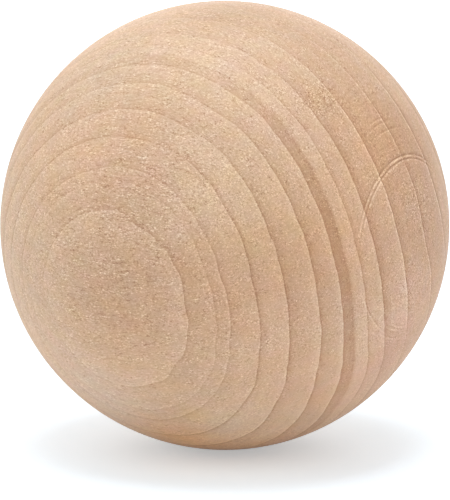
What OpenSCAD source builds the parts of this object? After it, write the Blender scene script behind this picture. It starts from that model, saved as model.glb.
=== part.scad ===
// Solid wooden ball, turned from one block on a lathe and sanded, left bare.
// The origin is the centre of the ball and +X is the axis it was turned about.
// The grain runs along +X, and +Z is up as the ball lies.

/* [Ball] */
// Diameter of the ball
ball_d = 75; // [50:1:100]
// Colour of the bare wood
wood_colour = "#D9BC9E"; // ["#D9BC9E":Birch, "#E3CFA9":Maple, "#C99A6B":Beech]

/* [Chuck mark] */
// Radius of the outer ring that the chuck's rim left on the +X end
outer_ring_r = 15.1; // [10:0.05:20]
// Step in radius from the outer ring to the inner one
ring_step = 0.65; // [0.6:0.05:3]
// Width of each ring where it breaks the surface
groove_w = 0.5; // [0.2:0.05:0.55]
// Depth of each ring below the surface
groove_depth = 0.1; // [0.05:0.01:0.15]

/* [Hidden] */

ball_r = ball_d / 2;
// Radius of the round-bottomed groove that has this width and depth
groove_r = (groove_w * groove_w / 4 + groove_depth * groove_depth) / (2 * groove_depth);
ring_radii = [outer_ring_r, outer_ring_r - ring_step];
ball_sides = 180;
groove_sides = 48;

// Cross-section of one groove, whose middle lies ring_r from the turning axis
module groove_section(ring_r) {
    // Angle between the turning axis and the middle of the ring
    ring_angle = asin(ring_r / ball_r);
    centre_r = ball_r - groove_depth + groove_r;
    translate(centre_r * [sin(ring_angle), cos(ring_angle)])
        circle(r = groove_r, $fn = groove_sides);
}

// Half of the ball's lengthwise section, with the turning axis at x = 0
module ball_section() {
    difference() {
        circle(r = ball_r, $fn = ball_sides);
        translate([-ball_d, -ball_d])
            square([ball_d, 2 * ball_d]);
        for (ring_r = ring_radii)
            groove_section(ring_r);
    }
}

module ball() {
    color(wood_colour)
        rotate([0, 90, 0])
            rotate_extrude($fn = ball_sides)
                ball_section();
}

ball();
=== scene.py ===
import math

import bmesh
import bpy
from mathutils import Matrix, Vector


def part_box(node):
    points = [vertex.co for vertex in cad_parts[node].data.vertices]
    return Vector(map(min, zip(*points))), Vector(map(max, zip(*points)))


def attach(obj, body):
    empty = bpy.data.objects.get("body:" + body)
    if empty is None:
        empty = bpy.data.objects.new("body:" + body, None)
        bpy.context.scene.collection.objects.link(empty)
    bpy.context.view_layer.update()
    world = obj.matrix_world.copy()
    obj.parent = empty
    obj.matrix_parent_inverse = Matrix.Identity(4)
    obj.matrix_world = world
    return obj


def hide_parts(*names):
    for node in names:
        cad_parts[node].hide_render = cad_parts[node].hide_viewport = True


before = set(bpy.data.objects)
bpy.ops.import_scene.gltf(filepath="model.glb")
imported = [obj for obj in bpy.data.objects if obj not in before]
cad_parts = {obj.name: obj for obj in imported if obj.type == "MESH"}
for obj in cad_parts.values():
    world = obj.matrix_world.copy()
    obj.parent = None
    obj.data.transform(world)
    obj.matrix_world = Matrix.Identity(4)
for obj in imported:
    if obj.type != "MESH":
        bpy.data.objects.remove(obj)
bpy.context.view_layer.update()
lowCorner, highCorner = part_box("ball")
mm = 0.001
ballRadius = (highCorner.x - lowCorner.x) / 2
floorHeight = lowCorner.z


def linearColour(hexCode):
    # the numbers are those of the sRGB standard
    channels = [int(hexCode[i:i + 2], 16) / 255 for i in (1, 3, 5)]
    return [c / 12.92 if c <= 0.04045 else ((c + 0.055) / 1.055) ** 2.4 for c in channels] + [1]


def addNode(tree, kind, settings=None, inputs=None, output=0):
    node = tree.nodes.new("ShaderNode" + kind)
    for name, value in (settings or {}).items():
        setattr(node, name, value)
    for name, value in (inputs or {}).items():
        if isinstance(value, bpy.types.NodeSocket):
            tree.links.new(value, node.inputs[name])
        else:
            node.inputs[name].default_value = value
    return node.outputs[output] if node.outputs else None


def addPart(tree, part, amount, total):
    # the total, with that much of the part added
    if amount == 0:
        return total
    return addNode(tree, "Math", {"operation": "MULTIPLY_ADD"}, {0: part, 1: amount, 2: total})


def addSpots(tree, place, spots, reach):
    # 1 in the middle of each spot, 0 away from them all; the reach is in mm from the middle to the edge
    total = 0
    for spot in spots:
        away = addNode(tree, "VectorMath", {"operation": "SUBTRACT"}, {0: place, 1: spot})
        away = addNode(tree, "VectorMath", {"operation": "DIVIDE"}, {0: away, 1: reach})
        away = addNode(tree, "VectorMath", {"operation": "LENGTH"}, {0: away}, "Value")
        near = addNode(tree, "MapRange", {"interpolation_type": "SMOOTHSTEP"}, {
            0: away, 1: 0, 2: 1, 3: 1, 4: 0})
        total = addNode(tree, "Math", {"operation": "ADD"}, {0: near, 1: total}) if total else near
    return total


def addAreas(tree, place, areas, total):
    # the total, with each area's amount added: all of it in the middle, none at the edge
    for spot, reach, amount in areas:
        total = addPart(tree, addSpots(tree, place, [spot], (reach,) * 3), amount, total)
    return total


def fillRamp(socket, stops, interpolation="LINEAR"):
    ramp = socket.node.color_ramp
    ramp.interpolation = interpolation
    while len(ramp.elements) < len(stops):
        ramp.elements.new(0.5)
    for element, (position, colour) in zip(ramp.elements, stops):
        element.position = position
        element.color = colour


def newMaterial(name):
    material = bpy.data.materials.new(name)
    material.use_nodes = True
    material.node_tree.nodes.clear()
    return material, material.node_tree


def newObject(name, data):
    thing = bpy.data.objects.new(name, data)
    bpy.context.scene.collection.objects.link(thing)
    return thing


ballShape = {
    "facesAround": 220,             # around the turning axis, which is X
    "facesAlong": 200,              # from one end to the other
    "leastFaces": 2,                # on the plain stretch before a ring, however short it is
    "mergeDistance": 0.002,         # mm within which vertices are joined, to close both ends
    "chuckRings": (14.45, 15.1),    # mm from the axis to each ring that the chuck left
    "ringWidth": 0.5,               # mm across one ring
    "ringDepth": 0.1,               # mm
    "ringSteps": 8,                 # faces across one ring
    "ringDeepest": (-0.15, 0.99),   # y and z of the side where they are deepest
    "ringFade": (25, 62),           # degrees round from there at which they start to fade, and have faded
    "ringShallowest": 0.15,         # share of the depth that is left on the other side
}


def turnArc(profile, tip, centre, angle, steps):
    # carries the line on from its last vertex, round a centre in the XZ plane
    made = bmesh.ops.spin(profile, geom=[tip], cent=centre, axis=(0, 1, 0), angle=angle, steps=steps)
    return [part for part in made["geom_last"] if isinstance(part, bmesh.types.BMVert)][0]


def makeBall():
    radius = ballRadius
    width = ballShape["ringWidth"] * mm
    depth = ballShape["ringDepth"] * mm
    grooveRadius = (width * width / 4 + depth * depth) / (2 * depth)
    halfRing = math.asin(width / 2 / radius)
    grooveSweep = 2 * math.asin(width / 2 / grooveRadius)
    profile = bmesh.new()
    tip = profile.verts.new((radius, 0, 0))
    reached = 0.0    # radians round from the chuck's end
    for ringRadius in ballShape["chuckRings"]:
        middle = math.asin(ringRadius * mm / radius)
        sweep = middle - halfRing - reached
        steps = max(ballShape["leastFaces"], round(sweep / math.pi * ballShape["facesAlong"]))
        tip = turnArc(profile, tip, (0, 0, 0), -sweep, steps)
        outside = radius * math.cos(halfRing) + math.sqrt(grooveRadius ** 2 - width * width / 4)
        centre = Vector((math.cos(middle), 0, math.sin(middle))) * outside
        tip = turnArc(profile, tip, centre, grooveSweep, ballShape["ringSteps"])
        reached = middle + halfRing
    sweep = math.pi - reached
    steps = round(sweep / math.pi * ballShape["facesAlong"])
    turnArc(profile, tip, (0, 0, 0), -sweep, steps)
    bmesh.ops.spin(profile, geom=profile.verts[:] + profile.edges[:], cent=(0, 0, 0), axis=(1, 0, 0),
                   angle=2 * math.pi, steps=ballShape["facesAround"], use_merge=True)
    bmesh.ops.remove_doubles(profile, verts=profile.verts[:], dist=ballShape["mergeDistance"] * mm)
    bmesh.ops.recalc_face_normals(profile, faces=profile.faces[:])
    deepest = Vector(ballShape["ringDeepest"])
    start, end = ballShape["ringFade"]
    for vert in profile.verts:
        away = math.degrees(vert.co.yz.angle(deepest, 0))
        share = max(ballShape["ringShallowest"], min(1, (end - away) / (end - start)))
        vert.co *= 1 + (radius / vert.co.length - 1) * (1 - share)
    for face in profile.faces:
        face.smooth = True
    mesh = bpy.data.meshes.new("turned_ball")
    profile.to_mesh(mesh)
    profile.free()
    return newObject("turned_ball", mesh)


ball = makeBall()
print("ball mesh:", len(ball.data.polygons), "faces")


# the tree that the ball was turned from
growth = {
    "baseColour": "#D2B193",   # between the pale and the dark wood of a year
    "tilt": 254,               # degrees about the turning axis, from up to the bark side
    "pithDistance": 120,       # mm from the middle of the ball to the pith
    # how far the rings stray from true circles, in mm at the ball's surface,
    # by place along the grain (L), across it (A) and towards the bark (D)
    "strays": {"AD": 2.8, "LL": -0.6, "AAA": -0.6, "LLA": -1.3, "LAA": 2.5},
    # where the rings bulge: the middle, how many mm it reaches, and how many mm towards the pith
    "bulges": [((13, 23, 26), 11, 0.17), ((9, 6, 36), 10, 0.2), ((16, -9, 32), 15, 0.22),
               ((8, -25, 27), 12, 0.1), ((12, 31, 17), 10, -0.55), ((31, -18, 9), 11, 0.8),
               ((37, 1, -3), 8, -0.7), ((29, 22, -7), 10, -0.25), ((-5, 22, 30), 9, -0.15),
               ((6, -3, 37), 7, -0.3), ((-10, 36, -1), 12, 0.6), ((12, 32, -14), 12, -0.9)],
    # mm along, across and deep for one bend of a ring, how many mm it moves the ring, and how many
    # times a finer bend is added to it
    "wander": (9, 5, 6, 0.2, 1),
    "jag": (0.7, 0.25, 0.5, 0.035, 1),   # small steps where bundles of fibres end
    "breaks": (0.9, 0.5, 3, 1.2, 2),     # the same for how much the lines between the years come and go
    "outerEdge": 38.5,                   # mm from the middle of the ball to the bark side of the first year
    # one year each, from the bark side to the pith side, where a year starts: its width in mm, its
    # brightness at the start, in the middle and in the late wood, the mm of late wood, how dark the line
    # at its end is, and how pale the line at its start
    "years": [
        (3.5, 0.05, 0.01, -0.01, 2.0, 0.05, 0.03),
        (2.05, 0.04, 0.01, -0.015, 1.0, 0.055, 0.015),
        (1.1, 0.04, 0.015, 0.005, 0.8, 0.045, 0.03),
        (2.95, 0.04, 0.035, -0.035, 1.4, 0.07, 0.03),
        (3.4, 0.055, 0.035, -0.05, 1.2, 0.12, 0.04),
        (4.1, 0.07, 0.02, -0.08, 2.2, 0.11, 0.045),
        (3.6, 0.09, 0.02, -0.08, 2.0, 0.08, 0.03),
        (1.55, -0.1, -0.08, -0.11, 0.9, 0.04, 0.02),
        (2.65, 0.09, 0.06, -0.07, 1.0, 0.05, 0.01),
        (3.4, 0.09, 0.045, -0.04, 1.2, 0.05, 0.01),
        (5.8, 0.05, 0.02, -0.1, 2.4, 0.08, 0.12),
        (7.7, 0.0, -0.005, -0.08, 2.2, 0.08, 0.14),
        (7.3, 0.02, 0, -0.07, 1.8, 0.08, 0.14),
        (7.2, 0.05, 0.02, -0.07, 1.5, 0.08, 0.05),
        (6.6, 0.04, 0.01, -0.1, 1.8, 0.05, 0.03),
        (7.4, 0.03, 0.01, -0.09, 2.0, 0.04, 0.03),
        (8.0, 0.03, 0.0, -0.1, 2.2, 0.05, 0.03),
    ],
    "lateShape": 1.5,     # 1 darkens evenly through the late wood, more keeps the dark near the line
    "freshShare": 0.4,    # share of a year in which its bright start fades
    "rampLift": 0.5,      # added to a brightness while a colour ramp holds it, to keep it above 0
    # mm on the surface of the dark line at a year's end, and of the pale line after it
    "lineWidths": (0.5, 0.5),
    # how strongly the years show: in the middle, how much more towards the chuck's end of the grain,
    # how much less on the two sides that lie across it, and the least
    "contrast": (2.05, 0.5, 1.7, 0.4),
    # where they show more or less than that: the middle, how many mm it reaches, and how much
    "contrastAreas": [((33, 17, 3), 15, 0.4), ((-12, 0, 36), 16, -1.0), ((15, -14, 31), 18, -0.4),
                      ((-12, 24, 26), 12, 0.15), ((13, 25, 25), 17, -0.4), ((34, -16, 3), 12, -1.6),
                      ((18, -26, 18), 13, 0.5), ((8, -22, 30), 11, 0.4), ((29, -3, 24), 17, -0.3),
                      ((31, 20, -10), 11, 1.0), ((36, 6, -8), 10, 1.8), ((0, 18, 33), 13, 0.35),
                      ((4, 3, 37), 13, 1.3), ((9, 19, 31), 11, 0.5), ((3, -12, 35), 11, 0.4),
                      ((-2, 35, 12), 14, 0.35), ((-3, -12, 35), 9, -1.2), ((13, 6, 34), 13, 0.9)],
}


def makeDepth(tree, turned):
    # mm from the middle of the ball towards the bark, following the rings, how strongly they show, and
    # how steeply they meet the surface: 0 where they lie flat in it, 1 where they cross it squarely
    unit = addNode(tree, "VectorMath", {"operation": "SCALE"}, {0: turned, "Scale": mm / ballRadius})
    parts = addNode(tree, "SeparateXYZ", inputs={0: unit}).node.outputs
    axes = {"L": parts[0], "A": parts[1], "D": parts[2]}
    fromPith = addNode(tree, "VectorMath", {"operation": "MULTIPLY_ADD"}, {
        0: turned, 1: (0, 1, 1), 2: (0, 0, growth["pithDistance"])})
    reach = addNode(tree, "VectorMath", {"operation": "LENGTH"}, {0: fromPith}, "Value")
    depth = addNode(tree, "Math", {"operation": "SUBTRACT"}, {0: reach, 1: growth["pithDistance"]})
    for letters, amount in growth["strays"].items():
        stray = amount
        for letter in letters:
            stray = addNode(tree, "Math", {"operation": "MULTIPLY"}, {0: stray, 1: axes[letter]})
        depth = addNode(tree, "Math", {"operation": "ADD"}, {0: depth, 1: stray})
    depth = addAreas(tree, turned, growth["bulges"], depth)
    middle, alongGain, acrossLoss, least = growth["contrast"]
    sideways = addNode(tree, "Math", {"operation": "MULTIPLY"}, {0: axes["A"], 1: axes["A"]})
    contrast = addPart(tree, sideways, -acrossLoss, middle)
    contrast = addPart(tree, axes["L"], alongGain, contrast)
    contrast = addAreas(tree, turned, growth["contrastAreas"], contrast)
    contrast = addNode(tree, "Math", {"operation": "MAXIMUM"}, {0: contrast, 1: least})
    flat = addNode(tree, "Math", {"operation": "MULTIPLY"}, {0: axes["D"], 1: axes["D"]})
    steep = addNode(tree, "Math", {"operation": "SUBTRACT"}, {0: 1, 1: flat})
    steep = addNode(tree, "Math", {"operation": "SQRT"}, {0: steep})
    return depth, contrast, steep


def makeYears(tree, depth, breaks, steep):
    # the brightness of the wood by its place in its year, with the fine lines where one year meets the next
    years = growth["years"]
    total = sum(year[0] for year in years)
    inward = addNode(tree, "MapRange", inputs={
        0: depth, 1: growth["outerEdge"], 2: growth["outerEdge"] - total, 3: 0, 4: 1})
    # a whole number at each year's bark side
    counter = addNode(tree, "ValToRGB", inputs={0: inward})
    stops = []
    walked = 0
    for number, year in enumerate(years):
        share = number / len(years)
        stops.append((walked / total, (share, share, share, 1)))
        walked += year[0]
    stops.append((1, (1, 1, 1, 1)))
    fillRamp(counter, stops)
    count = addNode(tree, "Math", {"operation": "MULTIPLY"}, {0: counter, 1: len(years)})
    # both are shares of the year: 0 to 1 from its bark side, and from its pith side
    toEnd = addNode(tree, "Math", {"operation": "FRACT"}, {0: count})
    fromStart = addNode(tree, "Math", {"operation": "SUBTRACT"}, {0: 1, 1: toEnd})
    # the middle of the year's own step on the two ramps
    whole = addNode(tree, "Math", {"operation": "FLOOR"}, {0: count})
    pick = addNode(tree, "Math", {"operation": "MULTIPLY_ADD"}, {
        0: whole, 1: 1 / len(years), 2: 0.5 / len(years)})
    tones = addNode(tree, "ValToRGB", inputs={0: pick})
    sizes = addNode(tree, "ValToRGB", inputs={0: pick})
    toneStops = []
    sizeStops = []
    widest = max(year[0] for year in years)
    lift = growth["rampLift"]
    for number, (width, start, middle, late, lateWidth, dark, pale) in enumerate(years):
        share = number / len(years)
        toneStops.append((share, (start + lift, middle + lift, late + lift, 1)))
        sizeStops.append((share, (lateWidth / width, width / widest, dark, pale)))
    fillRamp(tones, toneStops, "CONSTANT")
    fillRamp(sizes, sizeStops, "CONSTANT")
    tone = addNode(tree, "SeparateColor", inputs={0: tones}).node.outputs
    size = addNode(tree, "SeparateColor", inputs={0: sizes}).node.outputs
    width = addNode(tree, "Math", {"operation": "MULTIPLY"}, {0: size[1], 1: widest})
    fresh = addNode(tree, "MapRange", {"interpolation_type": "SMOOTHSTEP"}, {
        0: fromStart, 1: 0, 2: growth["freshShare"], 3: 0, 4: 1})
    late = addNode(tree, "MapRange", inputs={0: toEnd, 1: 0, 2: size[0], 3: 1, 4: 0})
    late = addNode(tree, "Math", {"operation": "POWER"}, {0: late, 1: growth["lateShape"]})
    brightness = addNode(tree, "Mix", {"data_type": "FLOAT"}, {0: fresh, 2: tone[0], 3: tone[1]})
    brightness = addNode(tree, "Mix", {"data_type": "FLOAT"}, {0: late, 2: brightness, 3: tone[2]})
    brightness = addNode(tree, "Math", {"operation": "SUBTRACT"}, {0: brightness, 1: lift})
    darkWidth, paleWidth = growth["lineWidths"]
    for place, reach, sign, strength in (
            (toEnd, darkWidth, -1, size[2]), (fromStart, paleWidth, 1, sizes.node.outputs["Alpha"])):
        away = addNode(tree, "Math", {"operation": "MULTIPLY"}, {0: place, 1: width})
        reach = addNode(tree, "Math", {"operation": "MULTIPLY"}, {0: steep, 1: reach})
        near = addNode(tree, "MapRange", {"interpolation_type": "SMOOTHSTEP"}, {
            0: away, 1: 0, 2: reach, 3: sign, 4: 0})
        line = addNode(tree, "Math", {"operation": "MULTIPLY"}, {0: near, 1: strength})
        brightness = addPart(tree, line, breaks, brightness)
    return brightness


# Birch, turned and sanded but not finished: matt and dry, with short fibres and pores all running one way
woodSurface = {
    "roughness": 0.6,
    "specular": 0.2,
    "fuzz": 0.06,             # sheen of the fine fuzz that sanding raises
    "fuzzSpread": 0.4,
    # each: mm along the grain, across it and through the rings for one patch, its strength, and how
    # many times finer patches are added to it, with this share of the strength of the last
    "finerShare": 0.6,
    "fibre": (3.5, 0.3, 0.28, 0.07, 1),     # real fibres are 0.02 mm wide, drawn coarser so that they show
    "grit": (0.3, 0.14, 0.14, 0.4, 0),      # fuzz that sanding raises, drawn coarser too
    "layers": (9, 3.5, 0.45, 0.031, 2),     # fine layers within a year
    "clouds": (9, 3.5, 2.5, 0.045, 2),      # broad paler and darker areas
    "hue": (4, 3, 3, (0.036, 0.017, 0.074), 1.5),   # pinker and yellower areas, a strength for each colour
    "patches": (2.2, 1.3, 1.3, 0.55, 3),    # where the fine grain is rougher
    "turning": (0.36, 3.5, 3.5, 1, 1),      # fine lines that the tool left round the axis
    # the same without finer patches
    "strands": (0.85, 0.3, 0.3, 0.38),      # bundles of fibres, pale with dark between them
    "pores": (1.6, 0.32, 0.32, 0.13),       # real pores are 0.08 mm wide, drawn coarser so that they show
    "flecks": (0.8, 0.5, 0.5, 0.18),        # short bright fibre ends, partly pale wood and partly painted glints where they catch the light, drawn coarser than their 0.05 mm
    "poreSize": (0.12, 0.34),     # share of a pore's cell that is darkest, and at which it has faded
    "fleckSize": (0.08, 0.42),    # the same for a fleck, which is bright
    # mm that each stands up, or lies deep
    "strandHeight": 0.02,
    "fibreHeight": 0.02,
    "gritHeight": 0.02,
    "poreHeight": 0.02,
    # where the tool's lines show: the middle, how many mm it reaches, and how strongly
    "turningAreas": [((29, 24, -2), 15, 0.11), ((34, -10, 8), 11, 0.11), ((35, 11, -3), 12, 0.1)],
    # where the fine grain shows more or less: partly rougher grain, partly painted light, the grain
    # showing more where the light grazes the fibres and less below, where the light falls evenly: the
    # middle, how many mm it reaches, and how much more
    "roughAndGrazingLightAreas": [((25, 27, 4), 6, 0.8), ((31, 21, -3), 14, 0.1), ((36, 6, -3), 8, 0.7),
                   ((36, -5, 3), 8, 0.5), ((35, 13, 2), 13, 0.2), ((-1, 7, 37), 20, 0.1),
                   ((7, 18, 32), 19, 0.18), ((3, -22, 24), 30, -0.27),
                   ((26, -20, 16), 20, -0.42), ((30, 4, 21), 16, -0.1)],
    "grainLeast": 0.25,       # of the usual strength, where the fine grain shows least
    "peaks": (0.26, 3.2),     # how much is left of weak grains, and how much more of strong ones
    # darkest and palest, and in how many steps the colours between are mixed
    "toneRange": (-0.7, 0.5, 13),
    # how much each colour follows the brightness: dark wood is redder
    "toneOfColours": (0.74, 1.08, 1.32),
    # where the late wood is redder: the middle, how many mm it reaches, and how much redder
    "redLateAreas": [((33, -5, 15), 16, 0.07)],
    # paler, darker, redder and bluer areas, some of them painted shade and painted light near the rims,
    # marked below: the middle, in mm along, across and towards the bark, how many mm it reaches, how
    # bright, how much more red and how much more blue
    "areas": [
        ((38, 0, 10), 62, 0, 0.07, 0),               # the chuck's end, pinker
        ((0, 29, -24), 32, -0.15, 0, 0),             # painted shade on the far upper side
        # painted shade on the top rim
        ((4, 37, -5), 13, -0.1, -0.03, -0.01),
        ((11, 34, 8), 22, 0.13, 0, 0.01),            # pale, high on the near side
        ((-9, 32, 15), 15, 0.04, -0.045, 0.05),
        ((-6, 25, 26), 20, 0.015, 0.03, -0.01),
        ((4, 22, 30), 12, -0.05, 0, 0.02),
        ((-17, 2, 33), 18, 0.005, -0.035, 0.04),
        ((-11, -11, 34), 14, 0, -0.01, 0.05),
        ((3, 4, 37), 18, -0.12, 0, 0),               # the core of the rings
        ((-5, -17, 33), 15, 0.15, -0.05, 0.08),      # pale below the core
        # painted warm shade on the lower rim
        ((2, -26, 27), 12, -0.01, 0.13, -0.18),
        ((9, -33, 18), 17, 0, 0.13, -0.15),          # the underside, more orange: painted warm shade
        ((14, -25, 24), 17, 0.23, -0.02, 0),
        ((14, -11, 31), 17, 0, -0.03, 0.02),
        ((19, 20, 25), 19, 0.14, 0, 0),              # pale between the core and the chuck's end
        ((20, 7, 30), 16, -0.075, 0.03, -0.03),
        ((25, 15, 23), 18, -0.02, 0, -0.055),
        ((28, 24, -6), 22, -0.035, 0, 0),
        ((32, 18, 0), 14, -0.06, 0.055, -0.085),     # brown above the chuck rings
        # painted shade on the right upper rim, where no lamp reaches
        ((33, 14, -10), 14, -0.135, 0, 0.015),
        ((37, 1, -5), 12, -0.07, 0, 0),
        ((33, 9, 15), 17, -0.03, 0.04, -0.055),
        ((34, -1, 12), 15, -0.04, 0, 0),
        ((33, -5, 17), 15, 0, -0.05, 0.02),
        # painted light on the right lower rim, from the floor
        ((36, -7, 5), 12, 0.07, 0, 0.05),
        ((33, -17, 7), 11, -0.08, 0.01, 0.08),
        ((25, 27, 4), 5, -0.1, 0, -0.06),            # a small rough patch
        ((9.6, -19, 31), 3.5, 0, 0.05, -0.14),       # a yellow mark
    ],
    # dark specks, in mm along, across and towards the bark
    "specks": [(-4.1, 36.7, 6.3), (-4, 34.5, 14.2), (7.9, 33.2, 15.5), (11.8, 27.7, 22.3),
               (-14.5, 22.3, 26.4), (36.7, 7.6, 1.9), (-19.6, 2, 31.9), (-19.3, -3.8, 31.9),
               (20.1, 1.4, 31.7)],
    "speckSize": (0.5, 0.25, 0.25, 0.3),   # mm it reaches along, across and deep, and how dark
    # lines that a tool or the chuck left round the turning axis, in painted shade outside and a painted
    # highlight inside, as on a groove lit from above, or the other way round below 0: mm from the axis,
    # how strong, the middle of the stretch that shows, and how many mm it reaches
    "toolMarksPaintedShade": [
        (15.1, 0.32, (34, 14, -2), 15),
        (14.45, 0.32, (34, 14, -2), 15),
        (15.1, 0.2, (34, 11, 9), 9),
        (14.45, 0.2, (34, 11, 9), 9),
        (14.6, -0.2, (34, -6, 12), 8),
        (15.2, -0.12, (34, -12, 8), 7),
        (14.0, 0.12, (35, -12, 8), 7),
        (13.4, 0.1, (35, -12, 8), 5),
        (16.7, 0.07, (34, -16, 3), 6),
        (19.4, 0.16, (32, 19, -4), 6),
        (20.6, 0.16, (31, 20, -2), 7),
        (21.3, 0.12, (31, 21, -3), 5),
        (22.9, 0.1, (30, 23, 2), 5),
        (30.3, 0.06, (21, 30, -9), 6),
        (31.4, 0.06, (21, 30, -9), 5),
    ],
    "toolMarkShadeWidth": 0.3,    # mm across the painted dark half of a line
}


def addNoise(tree, place, pattern, output=0):
    # patches of the size in mm that the pattern says, above and below 0, not yet given their strength
    scaled = addNode(tree, "VectorMath", {"operation": "DIVIDE"}, {0: place, 1: pattern[:3]})
    return addNode(tree, "TexNoise", {"normalize": False}, {
        "Vector": scaled, "Scale": 1, "Detail": pattern[4], "Roughness": woodSurface["finerShare"]}, output)


def addCells(tree, place, pattern):
    # one cell beside another, of the size in mm that the pattern says: 0 in the middle, about 1 at the edge
    scaled = addNode(tree, "VectorMath", {"operation": "DIVIDE"}, {0: place, 1: pattern[:3]})
    return addNode(tree, "TexVoronoi", inputs={"Vector": scaled, "Scale": 1}, output="Distance")


def addMarks(tree, place, pattern, size):
    # a small mark in the middle of each cell
    return addNode(tree, "MapRange", {"interpolation_type": "SMOOTHSTEP"}, {
        0: addCells(tree, place, pattern), 1: size[0], 2: size[1], 3: pattern[3], 4: 0})


def addToolMarkPaintedShade(tree, turned):
    # how much the painted shade and highlight of the tool marks brighten the wood
    total = 0
    fromAxis = addNode(tree, "VectorMath", {"operation": "MULTIPLY"}, {0: turned, 1: (0, 1, 1)})
    fromAxis = addNode(tree, "VectorMath", {"operation": "LENGTH"}, {0: fromAxis}, "Value")
    width = woodSurface["toolMarkShadeWidth"]
    for radius, strength, middle, reach in woodSurface["toolMarksPaintedShade"]:
        across = addNode(tree, "MapRange", inputs={
            0: fromAxis, 1: radius - width, 2: radius + width, 3: -math.pi, 4: math.pi})
        wave = addNode(tree, "Math", {"operation": "SINE"}, {0: across})
        shown = addSpots(tree, turned, [middle], (reach,) * 3)
        wave = addNode(tree, "Math", {"operation": "MULTIPLY"}, {0: wave, 1: shown})
        total = addPart(tree, wave, -strength, total)
    return total


def addTurning(tree, turned):
    # fine lines where the tool left them, laid out by the distance from the chuck's end
    # along the surface, so that they run round the axis
    along = addNode(tree, "SeparateXYZ", inputs={0: turned}).node.outputs
    cosine = addNode(tree, "Math", {"operation": "MULTIPLY"}, {0: along[0], 1: mm / ballRadius})
    fromEnd = addNode(tree, "Math", {"operation": "ARCCOSINE"}, {0: cosine})
    fromEnd = addNode(tree, "Math", {"operation": "MULTIPLY"}, {0: fromEnd, 1: ballRadius / mm})
    place = addNode(tree, "CombineXYZ", inputs={0: fromEnd, 1: along[1], 2: along[2]})
    lines = addNoise(tree, place, woodSurface["turning"])
    strength = woodSurface["turning"][3]
    areas = [(spot, reach, amount * strength) for spot, reach, amount in woodSurface["turningAreas"]]
    shown = addAreas(tree, turned, areas, 0)
    return addNode(tree, "Math", {"operation": "MULTIPLY"}, {0: lines, 1: shown})


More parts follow.
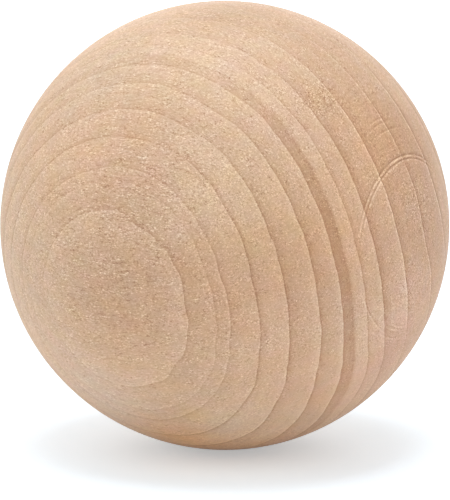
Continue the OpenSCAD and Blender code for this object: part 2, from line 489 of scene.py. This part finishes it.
def makeWood():
    material, tree = newMaterial("turned_birch")
    place = addNode(tree, "TexCoord", output="Object")
    turned = addNode(tree, "Mapping", inputs={
        "Vector": place, "Scale": (1 / mm,) * 3, "Rotation": (math.radians(growth["tilt"]), 0, 0)})
    depth, contrast, steep = makeDepth(tree, turned)
    along = addNode(tree, "SeparateXYZ", inputs={0: turned}).node.outputs
    grown = addNode(tree, "CombineXYZ", inputs={0: along[0], 1: along[1], 2: depth})
    ringDepth = depth
    for pattern in (growth["wander"], growth["jag"]):
        ringDepth = addPart(tree, addNoise(tree, grown, pattern), pattern[3], ringDepth)
    breaks = addPart(tree, addNoise(tree, grown, growth["breaks"]), growth["breaks"][3], 1)
    breaks = addNode(tree, "Math", {"operation": "MAXIMUM"}, {0: breaks, 1: 0})
    tone = makeYears(tree, ringDepth, breaks, steep)
    tone = addNode(tree, "Math", {"operation": "MULTIPLY"}, {0: tone, 1: contrast})
    lateWood = addNode(tree, "Math", {"operation": "MINIMUM"}, {0: tone, 1: 0})

    # the fine grain, stronger in some places: rougher there, and painted light where the light grazes it
    fibre = addNoise(tree, grown, woodSurface["fibre"])
    grit = addNoise(tree, grown, woodSurface["grit"])
    strands = addCells(tree, grown, woodSurface["strands"])
    strandStrength = woodSurface["strands"][3]
    texture = addPart(tree, strands, -strandStrength, strandStrength / 2)
    texture = addPart(tree, fibre, woodSurface["fibre"][3], texture)
    texture = addPart(tree, grit, woodSurface["grit"][3], texture)
    roughAndGrazingLight = addAreas(tree, turned, woodSurface["roughAndGrazingLightAreas"], 1)
    patches = addNoise(tree, grown, woodSurface["patches"])
    coarse = addPart(tree, patches, woodSurface["patches"][3], roughAndGrazingLight)
    coarse = addNode(tree, "Math", {"operation": "MAXIMUM"}, {0: coarse, 1: woodSurface["grainLeast"]})
    texture = addNode(tree, "Math", {"operation": "MULTIPLY"}, {0: texture, 1: coarse})
    weak, strong = woodSurface["peaks"]
    peaks = addNode(tree, "Math", {"operation": "ABSOLUTE"}, {0: texture})
    peaks = addPart(tree, peaks, strong, weak)
    tone = addPart(tree, texture, peaks, tone)

    # everything else that makes the wood paler or darker
    for name in ("layers", "clouds"):
        tone = addPart(tree, addNoise(tree, grown, woodSurface[name]), woodSurface[name][3], tone)
    pores = addMarks(tree, grown, woodSurface["pores"], woodSurface["poreSize"])
    tone = addPart(tree, pores, -1, tone)
    flecks = addMarks(tree, grown, woodSurface["flecks"], woodSurface["fleckSize"])
    # bright flecks, partly painted glints, stronger where the grain shows more
    tone = addPart(tree, flecks, roughAndGrazingLight, tone)
    tone = addNode(tree, "Math", {"operation": "ADD"}, {0: tone, 1: addTurning(tree, turned)})
    *speckSize, speckStrength = woodSurface["speckSize"]
    tone = addPart(tree, addSpots(tree, turned, woodSurface["specks"], speckSize), -speckStrength, tone)
    # the tool marks, in painted shade and painted highlight
    tone = addPart(tree, addToolMarkPaintedShade(tree, turned), breaks, tone)

    # redder and bluer areas; each is a plain number until the end, which keeps the shader small
    red = 0
    blue = 0
    for spot, reach, redder in woodSurface["redLateAreas"]:
        near = addSpots(tree, turned, [spot], (reach,) * 3)
        late = addNode(tree, "Math", {"operation": "MULTIPLY"}, {0: near, 1: lateWood})
        red = addPart(tree, late, -redder, red)
    for spot, reach, brightness, redder, bluer in woodSurface["areas"]:
        near = addSpots(tree, turned, [spot], (reach,) * 3)
        tone = addPart(tree, near, brightness, tone)
        red = addPart(tree, near, redder, red)
        blue = addPart(tree, near, bluer, blue)
    tint = addNode(tree, "CombineXYZ", inputs={0: red, 1: 0, 2: blue})
    hue = addNode(tree, "VectorMath", {"operation": "MULTIPLY_ADD"}, {
        0: addNoise(tree, grown, woodSurface["hue"], "Color"), 1: woodSurface["hue"][3], 2: (1, 1, 1)})
    hue = addNode(tree, "VectorMath", {"operation": "ADD"}, {0: hue, 1: tint})

    lowTone, highTone, toneSteps = woodSurface["toneRange"]
    toneShare = addNode(tree, "MapRange", inputs={0: tone, 1: lowTone, 2: highTone})
    colour = addNode(tree, "ValToRGB", inputs={0: toneShare})
    base = linearColour(growth["baseColour"])
    stops = []
    for step in range(toneSteps):
        share = step / (toneSteps - 1)
        value = lowTone + (highTone - lowTone) * share
        mixed = [c * math.exp(value * k) for c, k in zip(base, woodSurface["toneOfColours"])]
        stops.append((share, mixed + [1]))
    fillRamp(colour, stops)
    colour = addNode(tree, "VectorMath", {"operation": "MULTIPLY"}, {0: colour, 1: hue})

    height = addPart(tree, pores, -woodSurface["poreHeight"] / woodSurface["pores"][3], 0)
    height = addPart(tree, strands, -woodSurface["strandHeight"], height)
    height = addPart(tree, fibre, woodSurface["fibreHeight"], height)
    height = addPart(tree, grit, woodSurface["gritHeight"], height)
    bump = addNode(tree, "Bump", inputs={"Height": height, "Strength": 1, "Distance": mm}, output="Normal")
    shader = addNode(tree, "BsdfPrincipled", inputs={
        "Base Color": colour, "Roughness": woodSurface["roughness"],
        "Specular IOR Level": woodSurface["specular"], "Normal": bump,
        "Sheen Weight": woodSurface["fuzz"], "Sheen Roughness": woodSurface["fuzzSpread"]})
    addNode(tree, "OutputMaterial", inputs={"Surface": shader})
    return material


ball.data.materials.append(makeWood())
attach(ball, "root")
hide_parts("ball")
print("wood done")


studio = {
    "skyStrength": 0.6,          # what lights the ball; the camera sees white
    # degrees round from the camera's side, degrees up, and watts, for each soft lamp
    "lamps": {"top": (0, 90, 4.7), "back": (180, 15, 2.1), "left": (270, 15, 1.05)},
    "lampSize": 0.5,             # m
    "lampDistance": 0.9,         # m
    "floorSize": 6,              # m
    "floorWhite": (0.95, 0.95, 0.95, 1),   # what the ball sees
    "floorGlow": 0.4,            # what the camera sees: this much white, and the lit floor on top
    "floorShade": "#E0EFFB",     # the paper's colour to the camera, cool against the ball's warm reflection
    "cameraAzimuth": 31.5,       # degrees
    "cameraElevation": 11,       # degrees
    "cameraDistance": 1.0,       # m
    "outlineRadius": 224.7,      # pixels from the middle of the ball to its outline
    "centreUp": 24.7,            # pixels from the middle of the frame to the middle of the ball
    "centreRight": -0.2,
    "frameHeight": 500,          # pixels
    "sensor": 36,                # mm
}


def addBackdropRays(tree):
    # 1 for the rays that show the backdrop: straight to the camera, or in a reflection or through glass
    rays = addNode(tree, "LightPath").node.outputs
    shown = 0
    for name in ("Is Camera Ray", "Is Glossy Ray", "Is Transmission Ray"):
        shown = addNode(tree, "Math", {"operation": "ADD", "use_clamp": True}, {0: shown, 1: rays[name]})
    return shown


def makeFloor():
    sheet = bmesh.new()
    bmesh.ops.create_grid(sheet, x_segments=1, y_segments=1, size=studio["floorSize"] / 2)
    bmesh.ops.translate(sheet, verts=sheet.verts[:], vec=(0, 0, floorHeight))
    mesh = bpy.data.meshes.new("floor")
    sheet.to_mesh(mesh)
    sheet.free()
    material, tree = newMaterial("white_paper")
    shown = addBackdropRays(tree)
    white = addNode(tree, "Mix", {"data_type": "RGBA"}, {
        0: shown, 6: studio["floorWhite"], 7: linearColour(studio["floorShade"])}, 2)
    glow = addNode(tree, "Math", {"operation": "MULTIPLY"}, {0: shown, 1: studio["floorGlow"]})
    paper = addNode(tree, "BsdfDiffuse", inputs={"Color": white})
    light = addNode(tree, "Emission", inputs={"Strength": glow})
    shader = addNode(tree, "AddShader", inputs={0: paper, 1: light})
    addNode(tree, "OutputMaterial", inputs={"Surface": shader})
    mesh.materials.append(material)
    newObject("floor", mesh)


def makeSky():
    world = bpy.data.worlds.new("white_tent")
    bpy.context.scene.world = world
    world.use_nodes = True
    tree = world.node_tree
    tree.nodes.clear()
    strength = addNode(tree, "MapRange", inputs={0: addBackdropRays(tree), 3: studio["skyStrength"], 4: 1})
    shader = addNode(tree, "Background", inputs={"Strength": strength, "Color": (1, 1, 1, 1)})
    addNode(tree, "OutputWorld", inputs={"Surface": shader})


def fromCamera(azimuth, elevation, distance):
    # a place that many degrees round from the camera's side, seen from the ball
    turn = math.radians(studio["cameraAzimuth"] + azimuth)
    lift = math.radians(elevation)
    level = math.cos(lift)
    return Vector((math.sin(turn) * level, -math.cos(turn) * level, math.sin(lift))) * distance


def makeLamps():
    for name, (azimuth, elevation, watts) in studio["lamps"].items():
        lamp = bpy.data.lights.new(name + "_softbox", "AREA")
        lamp.energy = watts
        lamp.size = studio["lampSize"]
        lampObject = newObject(name + "_softbox", lamp)
        lampObject.location = fromCamera(azimuth, elevation, studio["lampDistance"])
        lampObject.rotation_euler = (-lampObject.location).to_track_quat("-Z", "Y").to_euler()


def makeCamera():
    place = fromCamera(0, studio["cameraElevation"], studio["cameraDistance"])
    back = place.normalized()
    right = Vector((0, 0, 1)).cross(back).normalized()
    up = back.cross(right)
    focal = studio["outlineRadius"] / math.tan(math.asin(ballRadius / studio["cameraDistance"]))
    camera = bpy.data.cameras.new("camera")
    camera.sensor_width = studio["sensor"]
    camera.lens = studio["sensor"] * focal / studio["frameHeight"]
    cameraObject = newObject("camera", camera)
    cameraObject.location = place
    metresPerPixel = studio["cameraDistance"] / focal
    aim = -(up * studio["centreUp"] + right * studio["centreRight"]) * metresPerPixel
    cameraObject.rotation_euler = (aim - place).to_track_quat("-Z", "Y").to_euler()
    bpy.context.scene.camera = cameraObject


makeFloor()
makeSky()
makeLamps()
makeCamera()
bpy.context.scene.view_settings.view_transform = "Standard"
print("studio done")
